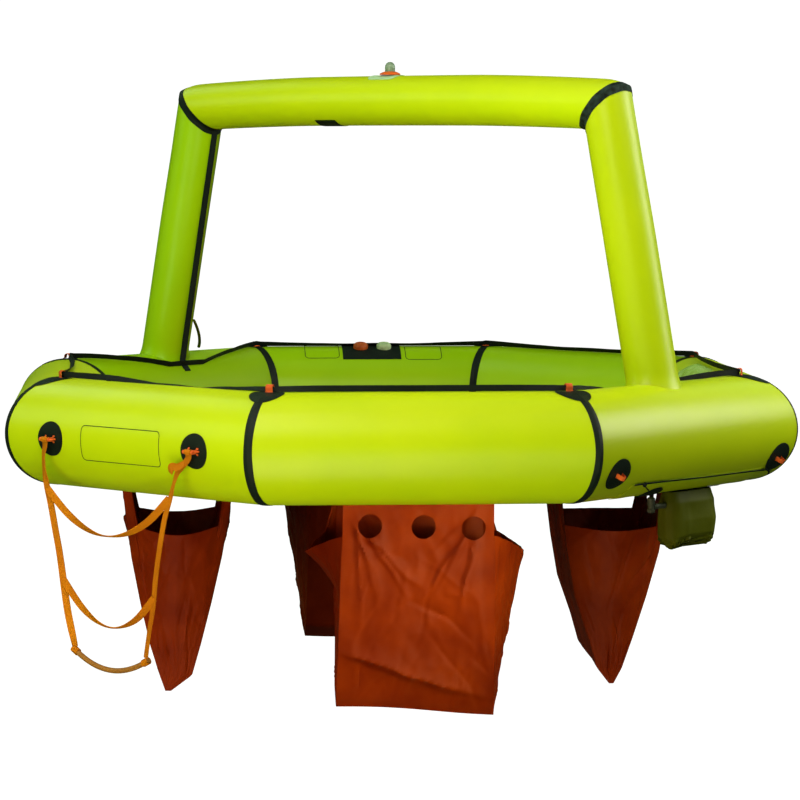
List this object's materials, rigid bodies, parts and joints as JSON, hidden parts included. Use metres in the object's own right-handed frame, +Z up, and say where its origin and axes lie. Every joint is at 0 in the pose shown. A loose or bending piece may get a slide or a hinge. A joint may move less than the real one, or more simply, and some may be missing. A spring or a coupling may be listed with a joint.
{
  "type": "inflatable life raft",
  "caption": "Eight-sided inflatable life raft with a three-piece inflatable canopy arch, webbing boarding ladder, lifeline, gas cylinder bag and hanging water ballast bags.",
  "frame": {"origin": "the middle of the raft at its waterline, 20 mm above the underside of the tube", "axes": "+Z up; -Y is the front, the segment that faces the viewer in the picture; +X is to the right of that view"},
  "size_m": [2.2314, 2.2314, 1.805],
  "materials": {
    "lime_fabric": "satin",
    "black_tape": "matte",
    "bag_fabric": "satin",
    "floor_fabric": "satin",
    "orange_loop": "matte",
    "ladder_web": "matte",
    "rung_tan": "satin",
    "olive_fabric": "satin",
    "head_metal": "brushed",
    "lamp_mint": "matte",
    "lamp_orange": "gloss",
    "lamp_clear": "gloss",
    "cap_green": "gloss",
    "pouch_clear": "gloss"
  },
  "bodies": {
    "raft": {"tube_front": "lime_fabric", "tube_front_right": "lime_fabric", "tube_right": "lime_fabric", "tube_back_right": "lime_fabric", "tube_back": "lime_fabric", "tube_back_left": "lime_fabric", "tube_left": "lime_fabric", "tube_front_left": "lime_fabric", "arch_leg_left": "lime_fabric", "arch_leg_right": "lime_fabric", "arch_top": "lime_fabric", "pocket_flap": "lime_fabric", "seam_tape_front_left": "black_tape", "seam_tape_front_right": "black_tape", "seam_tape_right_front": "black_tape", "seam_tape_right_back": "black_tape", "seam_tape_back_right": "black_tape", "seam_tape_back_left": "black_tape", "seam_tape_left_back": "black_tape", "seam_tape_left_front": "black_tape", "arch_tape_left": "black_tape", "arch_tape_right": "black_tape", "arch_strip_left": "black_tape", "arch_strip_right": "black_tape", "arch_patch": "black_tape", "lifeline": "black_tape", "valve_patch": "black_tape", "ladder_patch_left": "black_tape", "ladder_patch_right": "black_tape", "side_patch_near": "black_tape", "side_patch_far": "black_tape", "ballast_bag_front": "bag_fabric", "ballast_bag_right": "bag_fabric", "ballast_bag_back": "bag_fabric", "ballast_bag_left": "bag_fabric", "floor_sheet": "floor_fabric", "line_loop_front_left": "orange_loop", "line_loop_front_right": "orange_loop", "line_loop_right_front": "orange_loop", "line_loop_right_back": "orange_loop", "line_loop_back_right": "orange_loop", "line_loop_back_left": "orange_loop", "line_loop_left_back": "orange_loop", "line_loop_left_front": "orange_loop", "side_loop_near": "orange_loop", "side_loop_far": "orange_loop", "ladder_staple_left": "orange_loop", "ladder_staple_right": "orange_loop", "gas_bag": "olive_fabric", "arch_hose": "olive_fabric", "inflation_head": "head_metal", "lamp_patch": "lamp_mint", "lamp_base": "lamp_orange", "valve_cap_relief": "lamp_orange", "lamp_bulb": "lamp_clear", "valve_cap_topping": "cap_green", "pouch": "pouch_clear"},
    "ladder": {"ladder_webbing": "ladder_web", "ladder_bottom_rung": "rung_tan"}
  },
  "joints": [
    {"name": "ladder_swing", "type": "hinge", "parent": "raft", "child": "ladder", "pos_m": [-0.80234, -0.80234, 0.1245], "axis": [-0.7071, 0.7071, 0], "range_deg": [-5, 80]}
  ]
}
